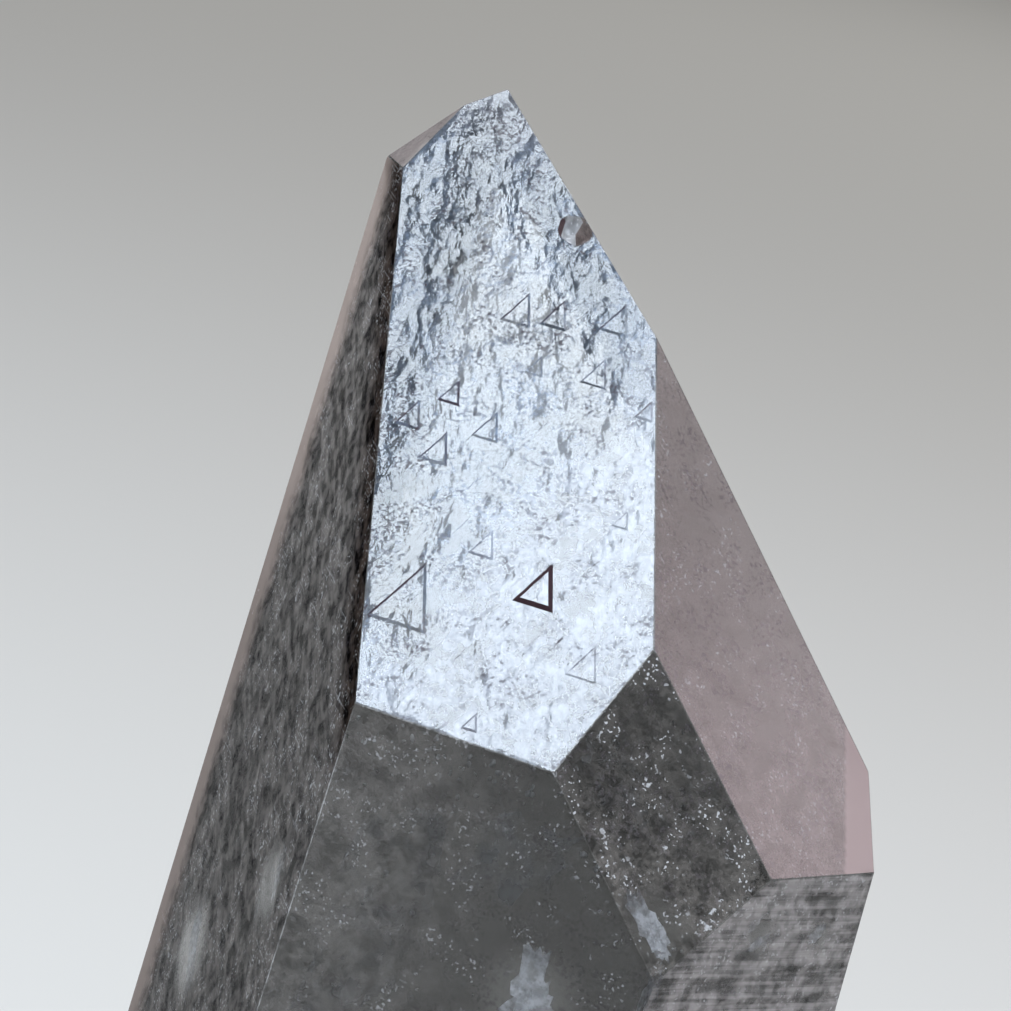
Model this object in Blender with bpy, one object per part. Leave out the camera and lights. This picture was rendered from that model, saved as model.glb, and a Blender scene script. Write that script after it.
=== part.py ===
# A natural quartz crystal point, grown as one piece. Its widest tip face carries raised growth triangles,
# known as record keepers. Six ledged prism sides stand under a lopsided pyramid of slanting faces, and the
# bottom is sawn flat, so the crystal stands on it.
# Units are metres. +Z runs along the crystal's long axis, and the origin is the middle of the bottom.

import math
import random

import bmesh
import bpy
from mathutils import Matrix, Vector

MM = 0.001

# Driving sizes, in millimetres and degrees.
HEIGHT = 78.0
HEART_HEIGHT = 40.0  # the heart is the point on the long axis that every face is measured from
BLOCK_WIDTH = 64.0  # the rough block that the faces are cut from

# Each face has the azimuth of its outward normal, how far that normal rises above level, and how far the
# face stands from the heart. Rises near 38 degrees are rhombohedral faces, and near 25 are corner facets.
TIP_FACES = {
    "broad_face": (270.3, 38.3, 17.35),
    "right_back_face": (29.9, 37.8, 18.15),
    "left_back_face": (150.1, 38.1, 34.75),
    "rosy_face": (327.7, 38.65, 18.05),
    "sliver_face": (210.0, 37.5, 29.15),
    "small_back_face": (90.0, 38.2, 30.6),
    "corner_facet": (300.9, 26.15, 17.5),
    "back_corner_facet": (60.0, 24.4, 19.3),
}
SIDES = {
    "front_side": (269.15, 0.9, 15.15),
    "striped_side": (329.85, -3.95, 17.9),
    "right_back_side": (30.3, 2.9, 15.3),
    "back_side": (90.0, 0.0, 15.9),
    "left_back_side": (150.0, 0.1, 18.5),
    "left_side": (209.4, 2.7, 13.15),
}

# Growth ledges cross each side level with the ground: the mean height of a band, and the mean depth of the
# ledge that ends it. The striped side has the most.
LEDGES = {
    "front_side": (3.6, 0.05),
    "striped_side": (0.95, 0.11),
    "right_back_side": (2.0, 0.12),
    "back_side": (2.4, 0.14),
    "left_back_side": (2.2, 0.12),
    "left_side": (2.6, 0.09),
}
LEDGE_RANGE = (0.3, 1.8)  # a ledge's depth, as a share of the mean
LOWEST_BAND = 0.3

# The record keepers on the broad face. Each has the middle of its foot line, across and up the face from
# the point nearest to the heart, then the length of the foot line and the height of the plateau.
KEEPERS = (
    (0.06, 6.02, 1.83, 0.15),
    (-8.08, 15.60, 1.05, 0.08),
    (-9.57, 13.60, 1.22, 0.08),
    (1.60, 17.95, 0.85, 0.07),
    (-3.38, 7.76, 1.20, 0.07),
    (-5.95, 2.75, 2.90, 0.10),
    (-0.49, -1.58, 0.75, 0.07),
    (-7.60, 12.10, 1.40, 0.08),
    (2.60, 11.60, 0.80, 0.05),
    (-4.60, 18.60, 0.90, 0.06),
    (-6.55, 21.20, 1.50, 0.08),
    (-4.65, 21.60, 1.30, 0.08),
    (-1.60, 22.30, 1.40, 0.08),
    (-1.50, 19.00, 1.30, 0.06),
    (-5.60, 14.20, 1.30, 0.07),
    (3.70, 2.90, 1.50, 0.06),
)
KEEPER_LEFT_ANGLE = 66.0  # of the triangle's left side from its foot line
KEEPER_RIGHT_ANGLE = 70.0
KEEPER_SLOPE = 1.5  # width of a plateau's sloping side for its height
PLATE_SLOPE = 2.0
FOOT_SINK = 0.05  # how far a plateau's foot reaches into the face that it is set on

# Low growth plates on the other slanting faces: across, up, mean radius, corners, height.
PLATES = {
    "right_back_face": ((2.0, 6.0, 3.8, 5, 0.16), (9.6, 14.5, 3.2, 4, 0.12), (11.6, 25.0, 2.2, 3, 0.12)),
    "small_back_face": ((11.4, 17.2, 1.1, 3, 0.08),),
    "rosy_face": ((1.6, 8.4, 0.7, 6, 0.05), (3.8, -1.2, 0.6, 6, 0.05)),
    "back_side": ((-4.0, 6.0, 3.2, 4, 0.16), (5.0, -14.0, 2.6, 4, 0.14)),
}

PLATE_RANGE = (0.85, 1.2)  # a corner's distance from the middle, as a share of the mean
CORNER_SHIFT = 0.15  # how far a corner moves round, as a share of the even spacing

# Etched hollows, longer than wide: how many, the angle of their length from the across direction, the mean
# length and width, the depth, and the part of the face that they lie in, as across and up ranges.
HOLLOWS = {
    "left_side": (34, 100.0, 2.6, 0.42, 0.10, (-6.5, 7.0), (-36.0, 24.0)),
    "corner_facet": (14, 60.0, 0.8, 0.30, 0.08, (-4.0, 2.4), (-5.0, 6.5)),
    "front_side": (12, 84.0, 1.4, 0.34, 0.07, (-5.0, 5.0), (-36.0, 4.0)),
    "rosy_face": (14, 75.0, 0.55, 0.30, 0.05, (-1.0, 3.6), (-4.0, 12.0)),
    "left_back_side": (12, 92.0, 2.2, 0.5, 0.12, (-5.0, 5.0), (-34.0, 24.0)),
    "right_back_side": (10, 88.0, 1.8, 0.5, 0.10, (-5.0, 5.0), (-34.0, 2.0)),
}
# A hollow's corners, along its half length and its half width, and the place of the keel's two ends.
HOLLOW_OUTLINE = ((1.0, 0.0), (0.4, 1.0), (-0.5, 1.0), (-1.0, 0.0), (-0.4, -1.0), (0.5, -1.0))
KEEL_END = 0.45
HOLLOW_FLARE = (1.2, 1.4)  # how much longer and wider the cutter is where it stands out of the face
HOLLOW_REACH = 0.4  # how far it stands out
HOLLOW_TURN = 8  # the largest turn away from the mean angle
HOLLOW_LENGTH_RANGE = (0.6, 1.5)
HOLLOW_WIDTH_RANGE = (0.7, 1.4)
HOLLOW_GAPS = (2.6, 1.5)  # the room between hollows across in widths, and up in lengths
MOST_TRIES = 4000

# The shell-shaped chip beside the broad face's right edge.
CHIP_PLACE = (-5.6, 27.55)
CHIP_RADIUS = 1.55
CHIP_DEPTH = 0.42

# Small chips along the edges: the two faces that meet there, the stretch of height, how many, mean radius.
EDGE_CHIPS = (
    ("front_side", "left_side", (3.0, 47.0), 9, 0.55),
    ("striped_side", "right_back_side", (3.0, 44.0), 7, 0.5),
    ("right_back_side", "back_side", (4.0, 42.0), 6, 0.6),
    ("back_side", "left_back_side", (4.0, 66.0), 7, 0.6),
    ("left_side", "left_back_side", (6.0, 68.0), 8, 0.45),
    ("front_side", "striped_side", (3.0, 37.0), 5, 0.5),
)
CHIP_BITE = 0.32  # how deep a small chip's ball goes past the edge, as a share of its radius
CHIP_RANGE = (0.6, 1.5)  # a small chip's radius, as a share of the mean
RIM_CHIPS = 12
RIM_CHIP_RADIUS = 1.3
RIM_CHIP_RANGE = (0.5, 1.3)
RIM_CHIP_OUT = 0.8  # how far a rim chip's ball stands out from the rim and above it, in radii
RIM_CHIP_UP = 0.1

PROFILE_RUN_OUT = 4.0  # how far a side's cut runs on below the bottom
SEED = 7


def direction(azimuth, rise):
    """The unit vector of this azimuth and rise."""
    a = math.radians(azimuth)
    r = math.radians(rise)
    return Vector((math.cos(r) * math.cos(a), math.cos(r) * math.sin(a), math.sin(r)))


class Face:
    """A plane of the crystal, with directions across and up it."""

    def __init__(self, azimuth, rise, distance):
        self.normal = direction(azimuth, rise)
        self.point = Vector((0, 0, HEART_HEIGHT)) + self.normal * distance
        self.across = Vector((0, 0, 1)).cross(self.normal).normalized()
        self.up = self.normal.cross(self.across)

    def at(self, across, up, out=0.0):
        """A point in millimetres: so far across and up the face, and out from it."""
        return self.point + self.across * across + self.up * up + self.normal * out


FACES = {name: Face(*numbers) for name, numbers in {**TIP_FACES, **SIDES}.items()}


def clear_scene():
    for found in list(bpy.data.objects):
        bpy.data.objects.remove(found, do_unlink=True)


def object_from(bm, name, helper=False):
    """Turns millimetre geometry into an object in metres. A helper only shapes another object."""
    bmesh.ops.scale(bm, vec=(MM, MM, MM), verts=bm.verts)
    bmesh.ops.recalc_face_normals(bm, faces=bm.faces)
    mesh = bpy.data.meshes.new(name)
    bm.to_mesh(mesh)
    bm.free()
    made = bpy.data.objects.new(name, mesh)
    bpy.context.scene.collection.objects.link(made)
    if helper:
        made.hide_render = True
        made.display_type = "WIRE"
    return made


def combine(target, helper, operation):
    """Adds an exact Boolean of the helper to the target."""
    modifier = target.modifiers.new(helper.name, "BOOLEAN")
    modifier.object = helper
    modifier.operation = operation
    modifier.solver = "EXACT"


def cut_block():
    """The rough block, cut by every slanting face and by the saw at the bottom."""
    bm = bmesh.new()
    size = Matrix.Diagonal((BLOCK_WIDTH, BLOCK_WIDTH, 2 * HEIGHT, 1.0))
    bmesh.ops.create_cube(bm, size=1.0, matrix=size)
    planes = [(FACES[name].point, FACES[name].normal) for name in TIP_FACES]
    planes.append((Vector((0, 0, 0)), Vector((0, 0, -1))))
    for point, normal in planes:
        whole = bm.verts[:] + bm.edges[:] + bm.faces[:]
        cut = bmesh.ops.bisect_plane(bm, geom=whole, plane_co=point, plane_no=normal, clear_outer=True)
        rim = [part for part in cut["geom_cut"] if isinstance(part, bmesh.types.BMEdge)]
        bmesh.ops.contextual_create(bm, geom=rim)
    return object_from(bm, "quartz_crystal")


def ledge_profile(rng, band, depth):
    """Points (up, out) of a ledged side, from below the bottom to above the tip.

    Each band leans out a little as it goes up, and then the ledge at its top steps back in."""
    up = -HEART_HEIGHT - PROFILE_RUN_OUT
    points = []
    while up < HEIGHT - HEART_HEIGHT:
        step = depth * rng.uniform(*LEDGE_RANGE)
        height = max(band * rng.expovariate(1.0), LOWEST_BAND)
        points.append((up, -0.5 * step))
        up += height
        points.append((up, 0.5 * step))
        up += step
    return points


def side_cutter(name, rng):
    """All that lies outside a ledged side: the profile closed far out, drawn out across the side."""
    face = FACES[name]
    profile = ledge_profile(rng, *LEDGES[name])
    far = BLOCK_WIDTH
    outline = profile + [(profile[-1][0], far), (profile[0][0], far)]
    bm = bmesh.new()
    corners = [bm.verts.new(face.at(-far, up, out)) for up, out in outline]
    end = bm.faces.new(corners)
    drawn = bmesh.ops.extrude_face_region(bm, geom=[end])
    moved = [part for part in drawn["geom"] if isinstance(part, bmesh.types.BMVert)]
    bmesh.ops.translate(bm, vec=face.across * (2 * far), verts=moved)
    return object_from(bm, name + "_cutter", helper=True)


def add_plateau(bm, face, corners, height, slope):
    """A low flat-topped plateau on a face. Its corners are halfway up its sloping sides."""
    middle = Vector((sum(c[0] for c in corners), sum(c[1] for c in corners))) / len(corners)
    reach = min(
        abs((Vector(a) - middle).cross(Vector(b) - Vector(a))) / (Vector(b) - Vector(a)).length
        for a, b in zip(corners, corners[1:] + corners[:1])
    )
    half_side = slope * height / 2
    top = []
    foot = []
    for corner in corners:
        away = Vector(corner) - middle
        inner = middle + away * (1 - half_side / reach)
        outer = middle + away * (1 + (half_side + slope * FOOT_SINK) / reach)
        top.append(bm.verts.new(face.at(inner.x, inner.y, height)))
        foot.append(bm.verts.new(face.at(outer.x, outer.y, -FOOT_SINK)))
    bm.faces.new(top)
    bm.faces.new(foot[::-1])
    for i in range(len(top)):
        j = (i + 1) % len(top)
        bm.faces.new((top[i], foot[i], foot[j], top[j]))


def keeper_corners(across, up, foot):
    """The three corners of a record keeper, from the middle of its foot line."""
    left = math.tan(math.radians(KEEPER_LEFT_ANGLE))
    right = math.tan(math.radians(KEEPER_RIGHT_ANGLE))
    tall = foot * left * right / (left + right)
    apex = across - foot / 2 + tall / left
    return [(across - foot / 2, up), (across + foot / 2, up), (apex, up + tall)]


def record_keepers():
    bm = bmesh.new()
    for across, up, foot, height in KEEPERS:
        corners = keeper_corners(across, up, foot)
        add_plateau(bm, FACES["broad_face"], corners, height, KEEPER_SLOPE)
    return object_from(bm, "record_keepers", helper=True)


def growth_plates(rng):
    """Low plates with irregular corners, where the growing face was one layer ahead."""
    bm = bmesh.new()
    for name, plates in PLATES.items():
        for across, up, radius, count, height in plates:
            turn = rng.uniform(0, math.tau)
            corners = []
            for i in range(count):
                angle = turn + math.tau * (i + rng.uniform(-CORNER_SHIFT, CORNER_SHIFT)) / count
                reach = radius * rng.uniform(*PLATE_RANGE)
                corners.append((across + reach * math.cos(angle), up + reach * math.sin(angle)))
            add_plateau(bm, FACES[name], corners, height, PLATE_SLOPE)
    return object_from(bm, "growth_plates", helper=True)


def spaced_places(rng, count, across_range, up_range, gap_across, gap_up):
    """Random places that stay clear of each other."""
    places = []
    tries = 0
    while len(places) < count and tries < MOST_TRIES:
        tries += 1
        place = (rng.uniform(*across_range), rng.uniform(*up_range))
        if all(abs(place[0] - p[0]) > gap_across or abs(place[1] - p[1]) > gap_up for p in places):
            places.append(place)
    return places


def etched_hollows(rng):
    """Boat-shaped cutters: each hollow has a straight keel and six corners around it."""
    bm = bmesh.new()
    for name, (count, angle, length, width, depth, across_range, up_range) in HOLLOWS.items():
        face = FACES[name]
        gap_across = HOLLOW_GAPS[0] * width
        gap_up = HOLLOW_GAPS[1] * length
        for across, up in spaced_places(rng, count, across_range, up_range, gap_across, gap_up):
            middle = Vector((across, up))
            turn = math.radians(angle + rng.uniform(-HOLLOW_TURN, HOLLOW_TURN))
            along = Vector((math.cos(turn), math.sin(turn)))
            beside = Vector((-along.y, along.x))
            half = 0.5 * length * rng.uniform(*HOLLOW_LENGTH_RANGE)
            wide = 0.5 * width * rng.uniform(*HOLLOW_WIDTH_RANGE)
            upper = []
            for a, b in HOLLOW_OUTLINE:
                place = middle + along * a * half * HOLLOW_FLARE[0] + beside * b * wide * HOLLOW_FLARE[1]
                upper.append(bm.verts.new(face.at(place.x, place.y, HOLLOW_REACH)))
            keel = []
            for a in (KEEL_END, -KEEL_END):
                place = middle + along * a * half
                keel.append(bm.verts.new(face.at(place.x, place.y, -depth)))
            bm.faces.new(upper)
            bm.faces.new((upper[0], upper[1], keel[0]))
            bm.faces.new((upper[1], upper[2], keel[1], keel[0]))
            bm.faces.new((upper[2], upper[3], keel[1]))
            bm.faces.new((upper[3], upper[4], keel[1]))
            bm.faces.new((upper[4], upper[5], keel[0], keel[1]))
            bm.faces.new((upper[5], upper[0], keel[0]))
    return object_from(bm, "etched_hollows", helper=True)


def edge_point(first, second, height):
    """Where the edge between two faces passes this height."""
    rows = Matrix((first.normal, second.normal, Vector((0, 0, 1))))
    known = Vector((first.normal.dot(first.point), second.normal.dot(second.point), height))
    return rows.inverted() @ known


def add_ball(bm, centre, radius, detail):
    bmesh.ops.create_icosphere(bm, subdivisions=detail, radius=radius, matrix=Matrix.Translation(centre))


def chip_balls(rng):
    """The balls whose hollows are the chips: the large one, those along the edges, and the sawn rim's."""
    bm = bmesh.new()
    broad = FACES["broad_face"]
    add_ball(bm, broad.at(*CHIP_PLACE, CHIP_RADIUS - CHIP_DEPTH), CHIP_RADIUS, 3)
    for name, other, stretch, count, mean in EDGE_CHIPS:
        outward = (FACES[name].normal + FACES[other].normal).normalized()
        for i in range(count):
            height = stretch[0] + (stretch[1] - stretch[0]) * (i + rng.uniform(0.1, 0.9)) / count
            radius = mean * rng.uniform(*CHIP_RANGE)
            centre = edge_point(FACES[name], FACES[other], height) + outward * radius * (1 - CHIP_BITE)
            add_ball(bm, centre, radius, 2)
    sides = [FACES[name] for name in SIDES]
    corners = [edge_point(side, following, 0.0) for side, following in zip(sides, sides[1:] + sides[:1])]
    for i in range(RIM_CHIPS):
        first = corners[i // 2]
        last = corners[(i // 2 + 1) % len(corners)]
        radius = RIM_CHIP_RADIUS * rng.uniform(*RIM_CHIP_RANGE)
        share = (i % 2) * 0.5 + rng.uniform(0.1, 0.4)
        place = first.lerp(last, share)
        outward = Vector((place.x, place.y, 0)).normalized()
        centre = place + outward * RIM_CHIP_OUT * radius + Vector((0, 0, RIM_CHIP_UP * radius))
        add_ball(bm, centre, radius, 2)
    return object_from(bm, "chip_balls", helper=True)


def quartz_material():
    """Clear quartz with a faint smoky brown."""
    material = bpy.data.materials.new("quartz")
    material.use_nodes = True
    shader = material.node_tree.nodes["Principled BSDF"]
    shader.inputs["Base Color"].default_value = (0.62, 0.58, 0.57, 1.0)
    shader.inputs["Roughness"].default_value = 0.06
    shader.inputs["Metallic"].default_value = 0.0
    shader.inputs["IOR"].default_value = 1.544
    shader.inputs["Transmission Weight"].default_value = 1.0
    return material


def main():
    clear_scene()
    rng = random.Random(SEED)
    crystal = cut_block()
    for name in SIDES:
        combine(crystal, side_cutter(name, rng), "DIFFERENCE")
    combine(crystal, growth_plates(rng), "UNION")
    combine(crystal, record_keepers(), "UNION")
    combine(crystal, etched_hollows(rng), "DIFFERENCE")
    combine(crystal, chip_balls(rng), "DIFFERENCE")
    crystal.data.materials.append(quartz_material())


main()
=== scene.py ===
# %% [markdown]
# # A quartz point with record keepers
# This lesson dresses a natural quartz crystal: a smoky prism under a lopsided pyramid. Its widest tip face
# mirrors the softbox, and carries low raised triangles, the record keepers. The construction model fixes
# every size and place, so it is loaded first.

# %% Load the imported model
import math
import random

import bpy
import numpy as np
from mathutils import Euler, Matrix, Vector


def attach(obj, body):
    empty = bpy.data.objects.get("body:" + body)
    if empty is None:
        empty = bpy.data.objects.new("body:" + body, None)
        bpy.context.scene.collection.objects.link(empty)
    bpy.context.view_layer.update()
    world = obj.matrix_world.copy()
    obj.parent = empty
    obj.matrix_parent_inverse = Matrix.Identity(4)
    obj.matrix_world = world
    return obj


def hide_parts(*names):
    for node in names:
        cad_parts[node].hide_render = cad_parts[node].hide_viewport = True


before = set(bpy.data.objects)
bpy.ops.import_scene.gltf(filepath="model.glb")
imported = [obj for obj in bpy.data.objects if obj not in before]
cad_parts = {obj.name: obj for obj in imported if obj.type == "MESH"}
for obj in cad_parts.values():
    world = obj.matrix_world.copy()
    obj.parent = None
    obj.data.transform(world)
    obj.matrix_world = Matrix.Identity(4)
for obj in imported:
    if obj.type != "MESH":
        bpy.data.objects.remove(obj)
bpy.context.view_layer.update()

MM = 0.001

# %% [markdown]
# ## The camera
# A macro lens looks down on the crystal by ten degrees, rolled, so that the crystal leans to the left. Far
# distance and a long lens keep the prism edges nearly parallel. A camera looks along its own -Z, so its +Z is
# turned to point back from the target.

# %% Aim the camera
VIEW_TARGET = Vector((-3.69, -4.55, 58.88)) * MM
VIEW_AZIMUTH = math.radians(12.03)
VIEW_RISE = math.radians(10.02)
VIEW_ROLL = math.radians(15.06)
VIEW_DISTANCE = 247.4 * MM
LENS = 173.9
SENSOR = 36.0

level = math.cos(VIEW_RISE)
to_camera = Vector((level * math.sin(VIEW_AZIMUTH), -level * math.cos(VIEW_AZIMUTH), math.sin(VIEW_RISE)))
bpy.ops.object.camera_add(location=VIEW_TARGET + to_camera * VIEW_DISTANCE)
camera = bpy.context.object
camera.name = "photo_view"
turned = to_camera.to_track_quat("Z", "Y").to_matrix() @ Matrix.Rotation(VIEW_ROLL, 3, "Z")
camera.rotation_euler = turned.to_euler()
camera.data.lens = LENS
camera.data.sensor_width = SENSOR
camera.data.clip_start = 0.01
bpy.context.scene.camera = camera
print("camera at", [round(v / MM, 1) for v in camera.location], "mm")

# %% [markdown]
# ## The faces of the crystal
# Every face of a crystal is a plane, so a face is three numbers: the azimuth of its outward normal, how far
# the normal rises above level, and how far the plane stands from a point on the long axis. Rises near 38
# degrees are rhombohedral faces, those near level are prism sides, and those near 25 are corner facets.

# %% Name the planes
HEART_HEIGHT = 40.0
FACES = {
    "broad_face": (270.3, 38.3, 17.35),
    "right_back_face": (29.9, 37.8, 18.15),
    "left_back_face": (150.1, 38.1, 34.75),
    "rosy_face": (327.7, 38.65, 18.05),
    "sliver_face": (210.0, 37.5, 29.15),
    "small_back_face": (90.0, 38.2, 30.6),
    "corner_facet": (300.9, 26.15, 17.5),
    "back_corner_facet": (60.0, 24.4, 19.3),
    "front_side": (269.15, 0.9, 15.15),
    "striped_side": (329.85, -3.95, 17.9),
    "right_back_side": (30.3, 2.9, 15.3),
    "back_side": (90.0, 0.0, 15.9),
    "left_back_side": (150.0, 0.1, 18.5),
    "left_side": (209.4, 2.7, 13.15),
    "sawn_base": (0.0, -90.0, HEART_HEIGHT),
}


class Face:
    """A plane of the crystal, with directions across and up it. It works in millimetres."""

    def __init__(self, azimuth, rise, distance):
        a = math.radians(azimuth)
        r = math.radians(rise)
        self.normal = Vector((math.cos(r) * math.cos(a), math.cos(r) * math.sin(a), math.sin(r)))
        self.point = Vector((0, 0, HEART_HEIGHT)) + self.normal * distance
        beside = Vector((0, 0, 1)) if abs(rise) < 89 else Vector((0, 1, 0))
        self.across = beside.cross(self.normal).normalized()
        self.up = self.normal.cross(self.across)

    def at(self, across, up, out=0.0):
        """A place in metres: so many millimetres across and up the face, and out from it."""
        return (self.point + self.across * across + self.up * up + self.normal * out) * MM

    def direction(self, turn):
        """The direction in the face that is turned by so many degrees from across."""
        return self.across * math.cos(math.radians(turn)) + self.up * math.sin(math.radians(turn))


faces = {name: Face(*numbers) for name, numbers in FACES.items()}
print(len(faces), "planes")

# %% [markdown]
# ## Floor and light
# The studio is a pale floor, a large panel overhead and two softboxes. A mirror-like face shows whatever lies
# in its mirror direction, so each softbox stands where its face mirrors it to the camera: a cool one for the
# broad face, and a warm one for the face on its right. The clear body shows dark between them.

# %% Lay the floor
FLOOR_WIDTH = 8.0
bpy.ops.mesh.primitive_plane_add(size=FLOOR_WIDTH)
floor = bpy.context.object
floor.name = "studio_floor"
paper = bpy.data.materials.new("floor_paper")
paper.use_nodes = True
sockets = paper.node_tree.nodes["Principled BSDF"].inputs
sockets["Base Color"].default_value = (0.70, 0.69, 0.67, 1.0)
sockets["Roughness"].default_value = 0.9
floor.data.materials.append(paper)

# %% [markdown]
# An area light is given by its power, but a mirror shows its radiance. A helper works the power out from
# that, so the reflection stays as bright when the size of a softbox changes.

# %% Place the softboxes
def softbox(name, place, aim, size, radiance, colour):
    """An area light of a size in metres, with the energy that gives a mirror image so bright."""
    bpy.ops.object.light_add(type="AREA", location=place)
    made = bpy.context.object
    made.name = name
    made.data.shape = "RECTANGLE"
    made.data.size, made.data.size_y = size
    made.data.energy = radiance * math.pi * size[0] * size[1]
    made.data.color = colour
    made.rotation_euler = (place - aim).to_track_quat("Z", "Y").to_euler()
    return made


def mirror_direction(face):
    """Where a face looks when it is seen from the camera."""
    return (2 * face.normal.dot(to_camera) * face.normal - to_camera).normalized()


SKY_DISTANCE = 0.55
SKY_SHIFT = Vector((0.10, 0.0, 0.0))
WARM_DISTANCE = 0.6
PANEL_PLACE = Vector((0.25, 1.3, 1.2))
PANEL_AIM = Vector((0.15, 1.15, 0.0))

broad = faces["broad_face"]
rosy = faces["rosy_face"]
broad_middle = broad.at(-4.0, 12.0)
rosy_middle = rosy.at(2.5, 3.0)
sky_place = broad_middle + mirror_direction(broad) * SKY_DISTANCE + SKY_SHIFT
softbox("sky_softbox", sky_place, broad_middle, (0.32, 0.28), 15.0, (0.82, 0.91, 1.0))
warm_place = rosy_middle + mirror_direction(rosy) * WARM_DISTANCE
softbox("warm_softbox", warm_place, rosy_middle, (0.3, 0.3), 2.0, (1.0, 0.80, 0.76))
softbox("overhead_panel", PANEL_PLACE, PANEL_AIM, (1.2, 1.2), 2.0, (1.0, 0.99, 0.97))
print("mirror direction of the broad face", [round(v, 2) for v in mirror_direction(broad)])

# %% [markdown]
# The rest of the room is dim and even, and only fills the shadows. Colours are shown without a film look.

# %% Dim the room
ROOM_GREY = (0.11, 0.11, 0.105, 1.0)

world = bpy.data.worlds.new("dim_room")
bpy.context.scene.world = world
world.use_nodes = True
world.node_tree.nodes["Background"].inputs["Color"].default_value = ROOM_GREY
bpy.context.scene.view_settings.view_transform = "Standard"
print("the room's grey", ROOM_GREY[0])

# %% [markdown]
# ## Cutting the crystal from a block
# A crystal can be made as a lapidary would: take off everything in front of each plane. Bisect does that in
# edit mode, and its fill closes the cut. One cube and fifteen cuts give a closed body with truly flat faces.
# The merge distance suits large scenes, so it is made far smaller.

# %% Cut every plane
BLOCK = 0.17
TINY = 1e-7


def finish_edit():
    """Turns every face outwards and leaves edit mode."""
    bpy.ops.mesh.select_all(action="SELECT")
    bpy.ops.mesh.normals_make_consistent(inside=False)
    bpy.ops.object.mode_set(mode="OBJECT")


bpy.ops.mesh.primitive_cube_add(size=BLOCK)
crystal = bpy.context.object
crystal.name = "etched_crystal"
bpy.ops.object.mode_set(mode="EDIT")
for face in faces.values():
    bpy.ops.mesh.select_all(action="SELECT")
    bpy.ops.mesh.bisect(
        plane_co=face.at(0, 0), plane_no=face.normal, use_fill=True, clear_outer=True, threshold=TINY
    )
finish_edit()
print("the cut block has", len(crystal.data.polygons), "faces")

# %% [markdown]
# ## Worn edges
# No natural edge is perfectly sharp. A bevel of a few hundredths of a millimetre catches the light as a thin
# line, and it comes now, while each edge is still one straight piece.

# %% Bevel the edges
EDGE_WIDTH = 0.045 * MM

bpy.ops.object.mode_set(mode="EDIT")
bpy.ops.mesh.select_all(action="SELECT")
bpy.ops.mesh.bevel(offset=EDGE_WIDTH, segments=1, affect="EDGES", clamp_overlap=True)
bpy.ops.object.mode_set(mode="OBJECT")
print("with bevelled edges it has", len(crystal.data.polygons), "faces")

# %% [markdown]
# ## Record keepers
# A record keeper is a flat-topped triangular hillock that grew on the face, a tenth of a millimetre high.
# Each starts as a circle of three corners, sunk into the face. It is extruded outwards, and its top is made
# smaller, so that its sides slope. A union grows it to the crystal. All point the same way, by the lattice.

# %% Shape the triangles
# The middle of the foot line across and up the face, its length, the height, and how dark the grime and
# painted shade are on the foot side, the right side and the left side.
KEEPERS = (
    (0.06, 6.02, 1.83, 0.15, (1.0, 1.0, 1.0)),
    (-8.08, 15.60, 1.05, 0.08, (0.95, 0.90, 0.85)),
    (-9.57, 13.60, 1.22, 0.08, (0.60, 0.30, 0.85)),
    (1.60, 17.95, 0.85, 0.07, (0.30, 0.60, 0.90)),
    (-3.38, 7.76, 1.20, 0.07, (0.50, 0.50, 0.55)),
    (-5.95, 2.75, 2.90, 0.10, (0.20, 0.05, 0.95)),
    (-0.49, -1.58, 0.75, 0.07, (0.70, 0.60, 0.75)),
    (-7.60, 12.10, 1.40, 0.08, (0.20, 0.75, 0.85)),
    (2.60, 11.60, 0.80, 0.05, (0.20, 0.30, 0.30)),
    (-4.60, 18.60, 0.90, 0.06, (0.20, 0.20, 0.50)),
    (-6.55, 21.20, 1.50, 0.08, (0.10, 0.30, 0.90)),
    (-4.65, 21.60, 1.30, 0.08, (0.10, 0.30, 0.90)),
    (-1.60, 22.30, 1.40, 0.08, (0.10, 0.10, 0.90)),
    (-1.50, 19.00, 1.30, 0.06, (0.10, 0.40, 0.65)),
    (-5.60, 14.20, 1.30, 0.07, (0.10, 0.20, 0.75)),
    (3.70, 2.90, 1.50, 0.06, (0.10, 0.10, 0.60)),
)
KEEPER_LEFT_ANGLE = math.radians(66.0)
KEEPER_RIGHT_ANGLE = math.radians(70.0)
KEEPER_SINK = 0.05
KEEPER_SLOPE = 1.5


def keeper_corners(across, up, foot):
    """The three corners in the face, from the middle of the foot line."""
    left = math.tan(KEEPER_LEFT_ANGLE)
    right = math.tan(KEEPER_RIGHT_ANGLE)
    tall = foot * left * right / (left + right)
    return [
        Vector((across - foot / 2, up)),
        Vector((across + foot / 2, up)),
        Vector((across - foot / 2 + tall / left, up + tall)),
    ]


def inner_circle(corners):
    """The centre and radius of the circle that touches a triangle's three sides."""
    a, b, c = corners
    sides = ((b - c).length, (c - a).length, (a - b).length)
    centre = (a * sides[0] + b * sides[1] + c * sides[2]) / sum(sides)
    radius = abs((b - a).cross(c - a)) / sum(sides)
    return centre, radius


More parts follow.
